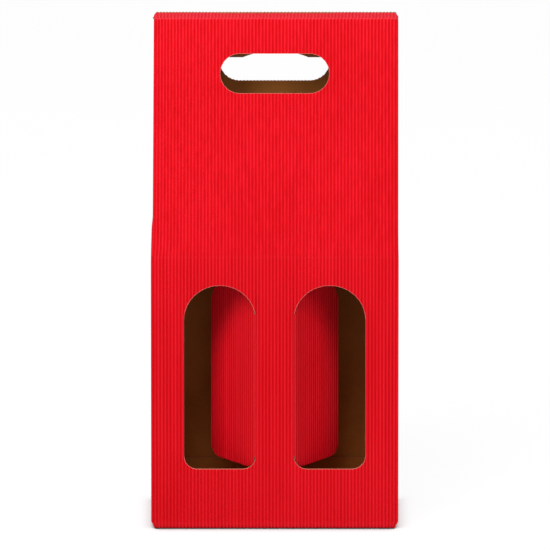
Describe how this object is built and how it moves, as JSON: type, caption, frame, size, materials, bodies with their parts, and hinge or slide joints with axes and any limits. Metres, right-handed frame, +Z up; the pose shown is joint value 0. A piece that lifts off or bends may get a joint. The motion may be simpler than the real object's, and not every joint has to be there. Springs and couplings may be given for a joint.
{
  "type": "bottle shipping box",
  "caption": "Carrying box for bottles folded from open-wave board, with arched windows whose flaps fold inward, a gable top with a handle hole, a tuck-in lid strip and a hinged base.",
  "frame": {"origin": "middle of the base, on the ground", "axes": "+Z up, the front with the windows faces -Y, +X to the right seen from the front"},
  "size_m": [0.182, 0.09, 0.3796],
  "materials": {
    "red_wave_board": "matte printed wave outside, plain brown liner inside"
  },
  "bodies": {
    "carton": {"carton": "red_wave_board"},
    "window_flap_left": {"window_flap_left": "red_wave_board"},
    "window_flap_right": {"window_flap_right": "red_wave_board"},
    "lid_strip": {"lid_strip": "red_wave_board"},
    "lid_tuck_flap": {"lid_tuck_flap": "red_wave_board"},
    "bottom_panel": {"bottom_panel": "red_wave_board"},
    "base_tuck_flap": {"base_tuck_flap": "red_wave_board"}
  },
  "joints": [
    {"name": "window_hinge_left", "type": "hinge", "parent": "carton", "child": "window_flap_left", "pos_m": [-0.014, -0.0435, 0.115], "axis": [0, 0, -1], "range_deg": [-52, 50]},
    {"name": "window_hinge_right", "type": "hinge", "parent": "carton", "child": "window_flap_right", "pos_m": [0.014, -0.0435, 0.115], "axis": [0, 0, 1], "range_deg": [-52, 50]},
    {"name": "lid_hinge", "type": "hinge", "parent": "carton", "child": "lid_strip", "pos_m": [0, -0.00775, 0.37963], "axis": [1, 0, 0], "range_deg": [0, 90]},
    {"name": "lid_tuck_fold", "type": "hinge", "parent": "lid_strip", "child": "lid_tuck_flap", "pos_m": [0, 0.00414, 0.37813], "axis": [1, 0, 0], "range_deg": [-90, 0]},
    {"name": "base_hinge", "type": "hinge", "parent": "carton", "child": "bottom_panel", "pos_m": [0, -0.0425, 0], "axis": [-1, 0, 0], "range_deg": [0, 95]},
    {"name": "base_tuck_fold", "type": "hinge", "parent": "bottom_panel", "child": "base_tuck_flap", "pos_m": [0, 0.0417, 0.0015], "axis": [1, 0, 0], "range_deg": [0, 81]}
  ],
  "couplings": [
    {"joint": "lid_tuck_fold", "follows": "lid_hinge", "ratio": -1},
    {"joint": "base_tuck_fold", "follows": "base_hinge", "ratio": 0.85}
  ]
}
